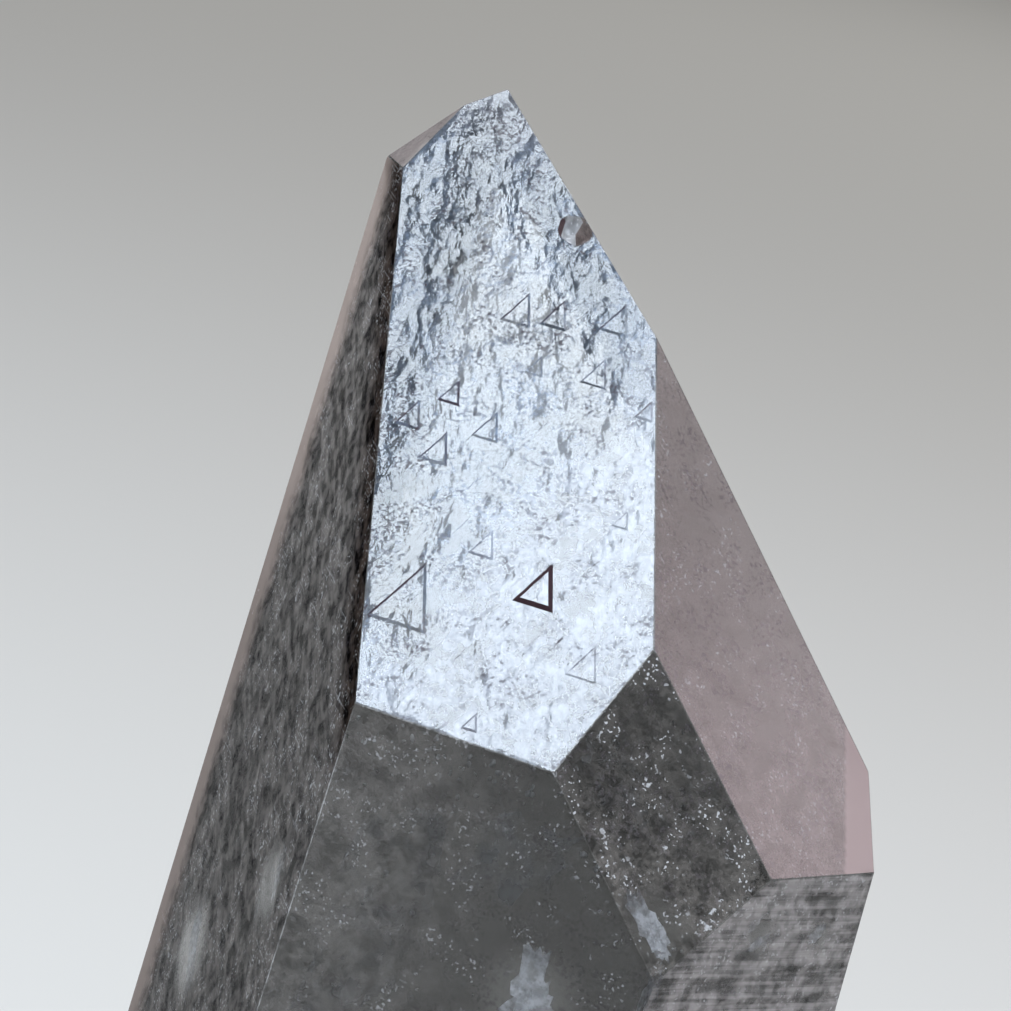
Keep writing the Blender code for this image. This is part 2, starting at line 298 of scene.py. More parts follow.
def raise_triangle(face, corners, height):
    """A triangle that starts under the face and ends above it, with sides that slope in."""
    centre, radius = inner_circle(corners)
    spread = 1 + KEEPER_SLOPE * (KEEPER_SINK + height / 2) / radius
    shrink = (1 - KEEPER_SLOPE * height / 2 / radius) / spread
    bpy.ops.mesh.primitive_circle_add(vertices=3, radius=MM, fill_type="NGON")
    made = bpy.context.object
    for vertex, corner in zip(made.data.vertices, corners):
        place = centre + (corner - centre) * spread
        vertex.co = face.at(place.x, place.y, -KEEPER_SINK)
    bpy.ops.object.mode_set(mode="EDIT")
    bpy.ops.mesh.select_all(action="SELECT")
    rise = face.normal * (KEEPER_SINK + height) * MM
    bpy.ops.mesh.extrude_region_move(TRANSFORM_OT_translate={"value": rise})
    top = face.at(centre.x, centre.y, height)
    bpy.ops.transform.resize(value=(shrink, shrink, shrink), center_override=top)
    finish_edit()
    return made


def join(pieces, name):
    bpy.ops.object.select_all(action="DESELECT")
    for piece in pieces:
        piece.select_set(True)
    bpy.context.view_layer.objects.active = pieces[0]
    if len(pieces) > 1:
        bpy.ops.object.join()
    pieces[0].name = name
    return pieces[0]


def pick(target):
    """Selects one object alone and makes it the active one."""
    bpy.ops.object.select_all(action="DESELECT")
    target.select_set(True)
    bpy.context.view_layer.objects.active = target


def combine(target, helper, operation):
    """Applies an exact Boolean and removes the helper."""
    pick(target)
    modifier = target.modifiers.new(helper.name, "BOOLEAN")
    modifier.object = helper
    modifier.operation = operation
    modifier.solver = "EXACT"
    modifier.use_self = True
    bpy.ops.object.modifier_apply(modifier=modifier.name)
    bpy.data.objects.remove(helper, do_unlink=True)


triangles = [raise_triangle(broad, keeper_corners(*row[:3]), row[3]) for row in KEEPERS]
combine(crystal, join(triangles, "record_keepers"), "UNION")
print(len(KEEPERS), "record keepers, the largest", KEEPERS[0][2], "mm wide")

# %% [markdown]
# ## The shell-shaped chip
# Quartz has no cleavage, so a knock takes out a curved flake, like the one by the broad face's right edge. A
# coarse ball is squeezed, turned and sunk into the face, and a difference takes its shape out.

# %% Knock out the chip
CHIP_PLACE = (-5.6, 27.55)
CHIP_RADIUS = 1.6
CHIP_DEPTH = 0.55
CHIP_SQUEEZE = (1.0, 0.85, 0.9)
CHIP_TURN = math.radians(-35)

bpy.ops.mesh.primitive_ico_sphere_add(
    subdivisions=2, radius=CHIP_RADIUS * MM, location=broad.at(*CHIP_PLACE, CHIP_RADIUS - CHIP_DEPTH)
)
ball = bpy.context.object
ball.name = "chip_ball"
frame_of_face = Matrix((broad.across, broad.up, broad.normal)).transposed()
ball.rotation_euler = (frame_of_face @ Matrix.Rotation(CHIP_TURN, 3, "Z")).to_euler()
ball.scale = CHIP_SQUEEZE
bpy.ops.object.transform_apply(location=True, rotation=True, scale=True)
combine(crystal, ball, "DIFFERENCE")
print("the crystal has", len(crystal.data.polygons), "faces")

# %% [markdown]
# ## A mesh fine enough for relief
# Flat faces need no inner vertices, but etched ones do. Each face is ruled into cells, fine ones where the
# relief is fine, and one subdivide then makes every cell six times finer. The mesh stays closed, because
# neighbours share the vertices of their common edge. To bisect one face alone, its polygons get a material
# slot of their own, and are selected by that slot.

# %% Give each face a slot
ALIGNED = 0.99999
NORMALS = np.array([face.normal for face in faces.values()])
OFFSETS = np.array([face.normal.dot(face.point) for face in faces.values()]) * MM
NAMES = list(faces)


def heights_over_planes(points):
    """How far each point lies outside each plane, in metres: a row for each point."""
    return points @ NORMALS.T - OFFSETS


def polygon_arrays(mesh):
    arrays = []
    for name in ("center", "normal"):
        values = np.empty(len(mesh.polygons) * 3)
        mesh.polygons.foreach_get(name, values)
        arrays.append(values.reshape(-1, 3))
    return arrays


def owners(mesh):
    """The number of the face that each polygon lies on, and whether it is level with that face."""
    centres, normals = polygon_arrays(mesh)
    owner = heights_over_planes(centres).argmax(axis=1)
    flat = (normals * NORMALS[owner]).sum(axis=1) > ALIGNED
    return owner, flat


for name in NAMES + ["small_parts"]:
    crystal.data.materials.append(bpy.data.materials.new(name))
owner, flat = owners(crystal.data)
slots = np.where(flat, owner, len(NAMES)).astype(np.int32)
crystal.data.polygons.foreach_set("material_index", slots)
print({name: int((slots == i).sum()) for i, name in enumerate(NAMES)})

# %% [markdown]
# Lines cut across the whole crystal would give every face the finest cells of all. Ruling each face by itself
# gives the broad face its fine net and leaves the hidden faces coarse.

# %% Rule the faces
CUTS = 5
# The size of a finished cell across and up the face, in millimetres.
CELLS = {
    "broad_face": (0.14, 0.14),
    "rosy_face": (0.22, 0.22),
    "corner_facet": (0.18, 0.18),
    "striped_side": (0.60, 0.19),
    "front_side": (0.45, 0.45),
    "left_side": (0.36, 0.55),
    "sliver_face": (0.30, 0.30),
    "sawn_base": (0.90, 0.90),
}
BACK_CELL = (0.85, 0.60)


def rule_face(index, name):
    """Cuts one face along evenly spaced lines, across and up."""
    face = faces[name]
    points = [
        crystal.data.vertices[v].co / MM - face.point
        for polygon in crystal.data.polygons
        if polygon.material_index == index
        for v in polygon.vertices
    ]
    bpy.ops.object.mode_set(mode="EDIT")
    crystal.active_material_index = index
    lines = 0
    for axis, cell in zip((face.across, face.up), CELLS.get(name, BACK_CELL)):
        spans = [point.dot(axis) for point in points]
        step = cell * (CUTS + 1)
        for i in range(math.floor((max(spans) - min(spans)) / step)):
            place = face.point + axis * (min(spans) + (i + 0.5) * step)
            bpy.ops.mesh.select_all(action="DESELECT")
            bpy.ops.object.material_slot_select()
            bpy.ops.mesh.bisect(plane_co=place * MM, plane_no=axis, threshold=TINY)
            lines += 1
    bpy.ops.object.mode_set(mode="OBJECT")
    return lines


pick(crystal)
ruled = [rule_face(index, name) for index, name in enumerate(NAMES)]
print("lines ruled", dict(zip(NAMES, ruled)), "polygons", len(crystal.data.polygons))

# %% [markdown]
# A subdivide can't evenly fill a face with many corners. Such faces are made into triangles first, and then
# every edge that is not already short is divided.

# %% Subdivide the cells
SHORT_EDGE = 0.25 * MM

bpy.ops.object.mode_set(mode="EDIT")
bpy.ops.mesh.select_mode(type="FACE")
bpy.ops.mesh.select_all(action="DESELECT")
bpy.ops.mesh.select_face_by_sides(number=4, type="GREATER", extend=False)
bpy.ops.mesh.quads_convert_to_tris(quad_method="BEAUTY", ngon_method="BEAUTY")
bpy.ops.mesh.select_mode(type="EDGE")
bpy.ops.mesh.select_all(action="DESELECT")
bpy.ops.object.mode_set(mode="OBJECT")
for edge in crystal.data.edges:
    a, b = (crystal.data.vertices[v].co for v in edge.vertices)
    edge.select = (a - b).length > SHORT_EDGE
bpy.ops.object.mode_set(mode="EDIT")
bpy.ops.mesh.subdivide(number_cuts=CUTS)
bpy.ops.mesh.select_mode(type="FACE")
bpy.ops.object.mode_set(mode="OBJECT")
crystal.data.calc_loop_triangles()
print("triangles", len(crystal.data.loop_triangles))

# %% [markdown]
# ## What lies where
# The finishes differ from face to face, so the mesh carries them as attributes: the frost and its colour, how
# rough, speckled, pitted, etched and mottled a place is, and how much grime and painted shade lies there.
# They are worked out from the plane that each polygon belongs to, while the faces are still exact planes.

# %% Measure the mesh
count = len(crystal.data.vertices)
places = np.empty(count * 3)
crystal.data.vertices.foreach_get("co", places)
places = places.reshape(-1, 3)
over = heights_over_planes(places)
vertex_owner = over.argmax(axis=1)
lowest_gap = np.full(count, 1.0)
for i in range(len(NAMES)):
    angle_sines = np.linalg.norm(np.cross(NORMALS[vertex_owner], NORMALS[i]), axis=1)
    gap = (over[np.arange(count), vertex_owner] - over[:, i]) / np.maximum(angle_sines, 1e-6)
    gap[vertex_owner == i] = 1.0
    lowest_gap = np.minimum(lowest_gap, gap)
edge_distance = lowest_gap / MM
print("vertices", count, "the furthest from an edge", round(float(edge_distance.max()), 2), "mm")


def across_up(name, points):
    """Millimetres across and up a face, for points in metres."""
    face = faces[name]
    local = points / MM - np.array(face.point)
    return local @ np.array(face.across), local @ np.array(face.up)


def smooth_step(values, low, high):
    t = np.clip((values - low) / (high - low), 0, 1)
    return t * t * (3 - 2 * t)


# %% [markdown]
# One table holds what each face is like as a whole. The worn edges lie in no plane, so they are told apart by
# their normals.

# %% List the finishes
# For each face: frost, its colour, roughness, bright specks, dark pits, finest etching, mottling.
FINISHES = {
    # The broad face's bluish white is partly pale etched frost and partly a painted reflection of a cool sky.
    "broad_face": (0.30, (0.72, 0.78, 0.90), 0.09, 0.05, 0.85, 0.42, 0.50),
    # The rosy face's pink is painted light: the pink surroundings that it reflects and lets through.
    "rosy_face": (0.50, (0.290, 0.226, 0.230), 0.12, 0.45, 0.50, 0.25, 0.20),
    "corner_facet": (0.60, (0.062, 0.056, 0.052), 0.04, 1.10, 0.50, 0.5, 1.30),
    "front_side": (0.45, (0.100, 0.092, 0.088), 0.03, 0.60, 0.35, 0.4, 1.20),
    "striped_side": (0.60, (0.32, 0.300, 0.304), 0.06, 0.70, 0.30, 0.6, 1.05),
    "left_side": (0.82, (0.094, 0.086, 0.082), 0.20, 0.70, 0.40, 0.7, 1.35),
    "sliver_face": (0.45, (0.50, 0.42, 0.40), 0.10, 0.10, 0.10, 0.2, 0.20),
    "sawn_base": (0.60, (0.40, 0.39, 0.38), 0.35, 0.30, 0.20, 0.6, 0.50),
}
BACK_FINISH = (0.20, (0.50, 0.48, 0.47), 0.05, 0.40, 0.20, 0.6, 1.00)
EDGE_REACH = 0.1
WORN_EDGE_FROST = 0.35
WORN_EDGE_COLOUR = (0.13, 0.125, 0.12)
WORN_EDGE_GLINT_COLOUR = (0.50, 0.50, 0.51)

loop_vertices = np.empty(len(crystal.data.loops), np.int32)
crystal.data.loops.foreach_get("vertex_index", loop_vertices)
polygon_sizes = np.empty(len(crystal.data.polygons), np.int32)
crystal.data.polygons.foreach_get("loop_total", polygon_sizes)
polygon_owner, polygon_flat = owners(crystal.data)
loop_owner = np.repeat(polygon_owner, polygon_sizes)
loop_flat = np.repeat(polygon_flat, polygon_sizes)
loop_edge_distance = edge_distance[loop_vertices]
loop_places = places[loop_vertices]

rows = [FINISHES.get(name, BACK_FINISH) for name in NAMES]
table = np.array([(row[0], *row[1], *row[2:]) for row in rows])[loop_owner]
frost, rough, specks = table[:, 0], table[:, 4], table[:, 5]
pits, etch, mottle = table[:, 6], table[:, 7], table[:, 8]
tint = table[:, 1:4]
loop_over = heights_over_planes(loop_places) / MM
worn = ~loop_flat & (loop_edge_distance < EDGE_REACH)
frost[worn] = WORN_EDGE_FROST
tint[worn] = WORN_EDGE_COLOUR
by_face = {name: loop_over[:, i] > -EDGE_REACH for i, name in enumerate(NAMES)}
# Painted highlight and wear: the bevels of the broad face and between the front and left sides are pale.
glinting_edge = by_face["broad_face"] | (by_face["front_side"] & by_face["left_side"])
tint[worn & glinting_edge] = WORN_EDGE_GLINT_COLOUR


def on(name):
    """1 for each corner that lies on the named face, and 0 elsewhere."""
    return (loop_owner == NAMES.index(name)).astype(float)


print(int(worn.sum()), "corners lie on worn edges")

# %% [markdown]
# Two narrow strips are smooth and pink, both painted light: one along the left silhouette, where light comes
# through the thin corner of the prism, and one at the right end of the rosy face, where pink light shows.

# %% Paint the pink strips
STRIP_FROST = 0.85
LEFT_STRIP_COLOUR = (0.34, 0.275, 0.25)
RIGHT_STRIP_COLOUR = (0.34, 0.262, 0.26)
LEFT_STRIP_FADE = (0.8, 3.4)
RIGHT_STRIP_SLANT = 0.353
RIGHT_STRIP_START = (7.45, 7.65)
PRISM_CORNER = math.radians(60)

to_left_back = -loop_over[:, NAMES.index("left_back_side")] / math.sin(PRISM_CORNER)
left_strip = on("left_side") * (1 - smooth_step(to_left_back, *LEFT_STRIP_FADE)) * ~worn
across, up = across_up("rosy_face", loop_places)
right_strip = on("rosy_face") * smooth_step(across - RIGHT_STRIP_SLANT * up, *RIGHT_STRIP_START) * ~worn
strip = left_strip + right_strip
frost += (STRIP_FROST - frost) * strip
tint += (np.array(LEFT_STRIP_COLOUR) - tint) * left_strip[:, None]
tint += (np.array(RIGHT_STRIP_COLOUR) - tint) * right_strip[:, None]
for amounts in (specks, mottle, pits, etch):
    amounts *= 1 - strip
print("left strip", int((left_strip > 0).sum()), "corners, right strip", int((right_strip > 0).sum()))

# %% [markdown]
# The broad face is rosy and paler at the very tip, which is painted light. It is mottled dark where its
# etching is deepest: each patch adds pits and etching, and its darker colour is painted shade in the face's
# sheen. Each dark patch is drawn as by a soft brush along a short line.

# %% Mottle the broad face
BROAD_TIP_PAINTED_LIGHT = (0.72, 0.64, 0.65)
# From one place across and up the face to another, how far the patch reaches, and how dark it is.
PATCHES = (
    ((-12.2, 31.9), (-10.9, 23.1), 1.7, 0.9),
    ((-13.5, 27.0), (-9.0, 20.0), 2.6, 0.5),
    ((-9.5, 21.5), (-4.0, 21.5), 2.0, 0.6),
    ((-12.0, 17.0), (-8.0, 6.0), 2.2, 0.7),
    ((-6.6, 3.5), (-5.0, 2.6), 1.3, 0.7),
    ((-5.5, 26.5), (-3.0, 24.0), 0.9, 0.6),
    ((-11.0, 12.0), (-9.0, 3.0), 1.6, 0.6),
    ((-3.0, 21.0), (-1.0, 17.0), 1.6, 0.5),
    ((-8.5, 30.5), (-7.5, 27.0), 1.2, 0.6),
)
PATCH_CORE = 0.2
PATCH_RIM = 1.8

across, up = across_up("broad_face", loop_places)
tip = on("broad_face") * smooth_step(up, 29.0, 34.0)
tint += (np.array(BROAD_TIP_PAINTED_LIGHT) - tint) * tip[:, None]
frost += 0.25 * tip
patch = np.zeros(len(loop_owner))
for start, end, reach, darkness in PATCHES:
    axis = np.subtract(end, start)
    share = ((across - start[0]) * axis[0] + (up - start[1]) * axis[1]) / (axis @ axis)
    share = np.clip(share, 0, 1)
    distance = np.hypot(across - start[0] - share * axis[0], up - start[1] - share * axis[1])
    softness = 1 - smooth_step(distance, PATCH_CORE * reach, PATCH_RIM * reach)
    patch = np.maximum(patch, darkness * softness)
patch *= on("broad_face")
# Painted shade: the left part of the face is darker and bluer, with less frost.
left_part = on("broad_face") * smooth_step(0.3 * up - across, 3.0, 10.0)
frost *= 1 - 0.5 * left_part
tint *= 1 - np.array((0.30, 0.18, 0.05)) * left_part[:, None]
upper = on("broad_face") * smooth_step(up, 13.0, 21.0)
frost *= 1 - 0.15 * upper
etch *= 1 + 1.5 * upper
rough += 0.07 * upper
frost *= 1 - 0.4 * patch
tint *= 1 - 0.5 * patch[:, None]
pits += 0.6 * patch
etch += 0.7 * patch
print("darkest patch", round(float(patch.max()), 2))

# %% [markdown]
# The other faces change slowly from end to end, as the body behind them is thicker or thinner there. Each
# gets a gradient of painted shade and light in its colour.

# %% Shade the other faces
def rising(name, low, high):
    """0 up to one height on the named face and 1 from another, and 0 off the face."""
    return on(name) * smooth_step(across_up(name, loop_places)[1], low, high)


BAND_COLOUR = (0.034, 0.025, 0.021)
BAND_FADE = (0.5, 3.8)
BAND_FROST = 0.25

# Painted shade and light: the front side is darker to its right, the corner facet and the rosy face to their
# tops, and the left side is paler to its top. Each number is the share of the colour that is gained or lost.
across = across_up("front_side", loop_places)[0]
tint *= 1 - 0.9 * (on("front_side") * smooth_step(across, -4.0, 6.0))[:, None]
tint *= 1 + (0.7 * on("corner_facet") - 1.0 * rising("corner_facet", -6.0, 3.0))[:, None]
tint *= 1 + (0.3 * on("rosy_face") - 0.75 * rising("rosy_face", -6.0, 16.0))[:, None]
tint *= 1 + 0.7 * rising("left_side", 4.0, 24.0)[:, None]

# A dark brown band lies on the left side, along the broad face.
to_broad = -loop_over[:, NAMES.index("broad_face")]
band = on("left_side") * (1 - smooth_step(to_broad, *BAND_FADE))
tint += (np.array(BAND_COLOUR) - tint) * band[:, None]
frost += BAND_FROST * band
print("brightest colour", round(float(tint.max()), 2))

# %% [markdown]
# Healed cracks hang close under some faces. The frost is thin over the largest, like a window.

# %% Open windows in the frost
# The face, the middle across and up it, and how far the window reaches.
WINDOWS = (
    ("front_side", 6.4, -2.6, 3.4),
    ("corner_facet", 2.0, -5.4, 2.6),
    ("striped_side", -0.5, 4.2, 1.4),
    ("striped_side", 4.0, 4.1, 1.0),
    ("left_side", -5.0, -9.6, 3.2),
    ("left_side", 5.3, -2.6, 2.6),
)
WINDOW_CLEARING = 0.85
WINDOW_CORE = 0.3

for name, middle, height, reach in WINDOWS:
    across, up = across_up(name, loop_places)
    distance = np.hypot(across - middle, up - height)
    frost *= 1 - WINDOW_CLEARING * on(name) * (1 - smooth_step(distance, WINDOW_CORE * reach, reach))
print("frost now from", round(float(frost.min()), 2), "to", round(float(frost.max()), 2))

# %% [markdown]
# Grime and painted shade lie on the sloping sides of the record keepers and draw their outlines, darker on
# some sides than on others, by which way each faces. The chip is brown to its right, has painted shade under
# its overhanging rim, and is white between, partly crumbled quartz and partly painted light.

# %% Rub in the grime and painted shade
CHIP_FROST = 0.55
CHIP_COLOUR = (0.20, 0.155, 0.145)
CHIP_PALE_COLOUR = (0.42, 0.42, 0.44)
CHIP_SHADE_CRESCENT = 0.85
CHIP_SPECKS = 2.0
CRUMBLED_AND_LIT_FROM = -0.15
CRUMBLED_AND_LIT_TO = 0.45
STEEP = 0.97

grime = np.zeros(len(loop_owner))
normals = polygon_arrays(crystal.data)[1]
loop_normals = np.repeat(normals, polygon_sizes, axis=0)
loop_steep = (loop_normals * NORMALS[loop_owner]).sum(axis=1) < STEEP
lean_across = loop_normals @ np.array(broad.across)
lean_up = loop_normals @ np.array(broad.up)
across, up = across_up("broad_face", loop_places)
sloping = (on("broad_face") > 0) & loop_steep & (loop_edge_distance > EDGE_REACH)
# Painted shade: each sloping side of a keeper is darkened by which way it faces.
for middle, foot_line, foot, height, darkness in KEEPERS:
    centre, radius = inner_circle(keeper_corners(middle, foot_line, foot))
    near = sloping & (np.hypot(across - centre.x, up - centre.y) < foot)
    grime[near & (lean_up < 0)] = darkness[0]
    grime[near & (lean_up > 0) & (lean_across > 0)] = darkness[1]
    grime[near & (lean_up > 0) & (lean_across < 0)] = darkness[2]
from_chip = np.hypot(across - CHIP_PLACE[0], up - CHIP_PLACE[1])
in_chip = (on("broad_face") > 0) & ~loop_flat & (from_chip < 1.2 * CHIP_RADIUS)
facing_right = 0.95 * lean_across + 0.3 * lean_up
frost[in_chip] = CHIP_FROST
tint[in_chip] = CHIP_COLOUR
etch[in_chip] *= 0.3
pits[in_chip] = 0
# Partly crumbled quartz and partly painted light: the parts that face right are pale and speckled.
crumbled_and_lit = in_chip & (facing_right > CRUMBLED_AND_LIT_FROM) & (facing_right < CRUMBLED_AND_LIT_TO)
tint[crumbled_and_lit] = CHIP_PALE_COLOUR
specks[crumbled_and_lit] = CHIP_SPECKS
# Painted shade: the part under the overhanging rim is dark.
grime[in_chip & (facing_right >= CRUMBLED_AND_LIT_TO)] = CHIP_SHADE_CRESCENT
print(int((grime > 0).sum()), "corners have grime")

# %% [markdown]
# Every amount goes onto the mesh as an attribute of its face corners. A corner belongs to one face only, so
# a value can jump at an edge.

# %% Store the finishes
ROWED_SIDES = ("striped_side", "right_back_side", "back_side", "left_back_side")
AMOUNTS = {
    "frost": frost,
    "rough": rough,
    "specks": specks,
    "pits": pits,
    "etch": etch,
    "mottle": mottle,
    "grime": grime,
    "on_broad": on("broad_face"),
    "on_left": on("left_side") * (1 - strip),
    "on_rows": sum(on(name) for name in ROWED_SIDES),
}
for name, values in AMOUNTS.items():
    attribute = crystal.data.attributes.new(name, "FLOAT", "CORNER")
    attribute.data.foreach_set("value", values.astype(np.float32))
    print(name, "from", round(float(values.min()), 2), "to", round(float(values.max()), 2))
colours = crystal.data.attributes.new("tint", "FLOAT_COLOR", "CORNER")
colours.data.foreach_set("color", np.column_stack([tint, np.ones(len(tint))]).astype(np.float32).ravel())

# %% [markdown]
# ## Etching and growth relief
# Acidic water etched the faces after they grew. A Displace modifier pushes the vertices out by a texture,
# where a vertex group lets it. The texture is read in the space of an empty on the face, so turning the empty
# turns the grain, and stretching it makes streaks. The weight falls to nothing towards each edge, which keeps
# the crystal's edges straight.

# %% Write the relief helper
EDGE_FADE = 0.3


def weight_group(name, fade=EDGE_FADE):
    """A vertex group over one face, with weights that fade out at its edges."""
    group = crystal.vertex_groups.new(name=name)
    weights = smooth_step(edge_distance, 0.02, fade) * (vertex_owner == NAMES.index(name))
    if name == "broad_face":
        weights *= 0.6 + 0.4 * smooth_step(across_up(name, places)[1], 10.0, 22.0)
    for index in np.flatnonzero(weights > 0.01):
        group.add([int(index)], float(weights[index]), "REPLACE")
    return group


def relief(name, kind, grain, stretch, turn, depth, **settings):
    """Displaces one face by a texture. Sizes are in millimetres, and turn is in degrees from across."""
    face = faces[name]
    if name not in crystal.vertex_groups:
        weight_group(name)
    texture = bpy.data.textures.new(name + "_" + kind.lower(), kind)
    for setting, value in settings.items():
        setattr(texture, setting, value)
    if hasattr(texture, "noise_scale"):
        texture.noise_scale = 1.0
    along = face.direction(turn)
    beside = face.normal.cross(along)
    bpy.ops.object.empty_add(location=face.at(0, 0))
    guide = bpy.context.object
    axes = Matrix((along * grain * stretch, beside * grain, face.normal * grain)).transposed() * MM
    guide.matrix_world = Matrix.Translation(face.at(0, 0)) @ axes.to_4x4()
    bpy.context.view_layer.update()
    pick(crystal)
    modifier = crystal.modifiers.new("relief", "DISPLACE")
    modifier.texture = texture
    modifier.texture_coords = "OBJECT"
    modifier.texture_coords_object = guide
    modifier.vertex_group = name
    modifier.mid_level = 0.5
    modifier.strength = depth * MM
    bpy.ops.object.modifier_apply(modifier=modifier.name)
    bpy.data.objects.remove(guide, do_unlink=True)
    bpy.data.textures.remove(texture)


# %% [markdown]
# Each face gets two or three sizes of relief, from broad swells to fine streaks. The sides are streaked level
# with the ground, because a prism grows in level steps.

# %% Etch the faces
relief("broad_face", "CLOUDS", 2.6, 1.5, 109, 0.20)
relief("broad_face", "CLOUDS", 0.9, 1.8, 109, 0.10)
relief("broad_face", "CLOUDS", 0.42, 1.7, 109, 0.05)
relief("left_side", "CLOUDS", 2.0, 2.5, -35, 0.20)
relief("left_side", "CLOUDS", 0.8, 3.0, -35, 0.14)
relief("left_side", "CLOUDS", 0.6, 8.0, -4, 0.05)
relief("front_side", "CLOUDS", 3.0, 1.5, 105, 0.10)
relief("front_side", "CLOUDS", 0.8, 5.0, 0, 0.03)
relief("rosy_face", "CLOUDS", 2.4, 1.5, 75, 0.05)
relief("rosy_face", "CLOUDS", 0.5, 1.2, 75, 0.015, noise_type="HARD_NOISE")
relief("corner_facet", "CLOUDS", 0.6, 1.5, 96, 0.08, noise_type="HARD_NOISE")
relief("striped_side", "CLOUDS", 0.5, 14.0, 2, 0.22)
relief("striped_side", "CLOUDS", 2.5, 5.0, 0, 0.15)
for name in ("right_back_side", "back_side", "left_back_side"):
    relief(name, "CLOUDS", 0.9, 9.0, 0, 0.22)
    relief(name, "CLOUDS", 3.0, 1.5, 90, 0.20)
for name in ("right_back_face", "left_back_face", "small_back_face", "back_corner_facet"):
    relief(name, "CLOUDS", 2.4, 1.5, 109, 0.14)
    relief(name, "CLOUDS", 0.9, 1.8, 71, 0.05)
print("relief done, box in mm", [round(v / MM, 2) for v in crystal.dimensions])

# %% [markdown]
# Smooth shading hides the small facets of the relief, and every angle above the limit stays a crisp edge.

# %% Shade the crystal
SMOOTH_ANGLE = math.radians(22)
pick(crystal)
bpy.ops.object.shade_smooth_by_angle(angle=SMOOTH_ANGLE)
crystal.vertex_groups.clear()
print("smooth below", round(math.degrees(SMOOTH_ANGLE)), "degrees")

# %% [markdown]
# ## A wire class for shader maths
# A shader is easier to read as a formula than as a list of links. The class holds one output socket, and
# arithmetic on it adds Math nodes. Its method adds any other node, with its settings and sockets.

# %% Write the wire class
class Wire:
    """An output socket of a material's node tree."""

    def __init__(self, tree, socket=None):
        self.tree = tree
        self.socket = socket

    def node(self, kind, settings=None, output=0, **sockets):
        """Adds a node. Settings are set first, then the sockets, by name or by i and their number."""
        made = self.tree.nodes.new(kind)
        for setting, value in (settings or {}).items():
            if setting == "stops":
                ramp = made.color_ramp
                while len(ramp.elements) < len(value):
                    ramp.elements.new(0.5)
                for element, (position, colour) in zip(ramp.elements, value):
                    element.position = position
                    element.color = (*colour, 1.0)
            else:
                setattr(made, setting, value)
        for name, value in sockets.items():
            key = int(name[1:]) if name[1:].isdigit() else name.replace("_", " ")
            target = made.inputs[key]
            if isinstance(value, Wire):
                self.tree.links.new(value.socket, target)
            else:
                target.default_value = value
        return Wire(self.tree, made.outputs[output] if made.outputs else None)

    def math(self, operation, first, second=0.0, clamp=False):
        return self.node("ShaderNodeMath", {"operation": operation, "use_clamp": clamp}, i0=first, i1=second)

    def __add__(self, other):
        return self.math("ADD", self, other)

    __radd__ = __add__

    def __mul__(self, other):
        return self.math("MULTIPLY", self, other)

    __rmul__ = __mul__

    def __sub__(self, other):
        return self.math("SUBTRACT", self, other)

    def __rsub__(self, other):
        return self.math("SUBTRACT", other, self)

    def scaled(self, factor):
        """A colour made brighter or darker."""
        return self.node("ShaderNodeVectorMath", {"operation": "SCALE"}, i0=self, i3=factor)

    def clamped(self):
        return self.math("ADD", self, 0.0, clamp=True)

    def between(self, low, high):
        """0 below low, 1 above high, and smooth between them."""
        return self.node(
            "ShaderNodeMapRange", {"interpolation_type": "SMOOTHSTEP"}, i0=self, i1=low, i2=high
        )

    def mixed(self, first, second):
        """The first colour where this wire is 0 and the second where it is 1."""
        return self.node("ShaderNodeMix", {"data_type": "RGBA"}, output=2, i0=self, i6=first, i7=second)

    def mixed_vectors(self, first, second):
        """The first place where this wire is 0 and the second where it is 1."""
        return self.node("ShaderNodeMix", {"data_type": "VECTOR"}, output=1, i0=self, i4=first, i5=second)


def new_material(name):
    """An empty material, a wire to start from, and the place on the object."""
    material = bpy.data.materials.new(name)
    material.use_nodes = True
    material.node_tree.nodes.clear()
    wire = Wire(material.node_tree)
    return material, wire, wire.node("ShaderNodeTexCoord", output="Object")


# %% [markdown]
# ## The quartz
# The body is plain glass: full transmission, the refractive index of quartz, and a grey smoke that takes
# light away. Over it lies the frost of the etched surface, a dull layer mixed in by the attributes and broken
# up by noise. The sizes of the noises are in millimetres, so a helper turns them into scales.

# %% Write the grain helpers
PER_MM = 1.0 / MM

quartz, wire, here = new_material("smoky_quartz")


def amount(name, output="Fac"):
    return wire.node("ShaderNodeAttribute", {"attribute_name": name}, output=output)


def grain(size, detail=2.0, vector=here, scale=PER_MM):
    """Noise whose features are about so many millimetres wide."""
    return wire.node("ShaderNodeTexNoise", Vector=vector, Scale=scale / size, Detail=detail)


def drawn_out(name, turn, length, width):
    """Places measured in lengths along a direction of a face, and in widths beside it."""
    face = faces[name]
    along = face.direction(turn)
    beside = face.normal.cross(along)
    turned = Matrix((along, beside, face.normal)).transposed().to_euler()
    return wire.node(
        "ShaderNodeMapping",
        {"vector_type": "TEXTURE"},
        Vector=here,
        Rotation=turned,
        Scale=(length * MM, width * MM, width * MM),
    )


def thin_lines(name, turn, length, width):
    """The highest crests of noise that is drawn out a long way."""
    return grain(1.0, 1.0, drawn_out(name, turn, length, width), 1.0)


print("the quartz begins with", len(quartz.node_tree.nodes), "node")

# %% [markdown]
# The finest relief is too fine for a mesh, and goes to a bump. It is drawn out on the broad face and the left
# side, lies in level rows on other prism sides, and is even grain elsewhere. One noise does all of it, and
# only the places that it is read at differ.

# %% Draw the finest pattern
EVEN_GRAIN = 0.2
ROW_LENGTH = 7.0
ROW_HEIGHT = 0.22

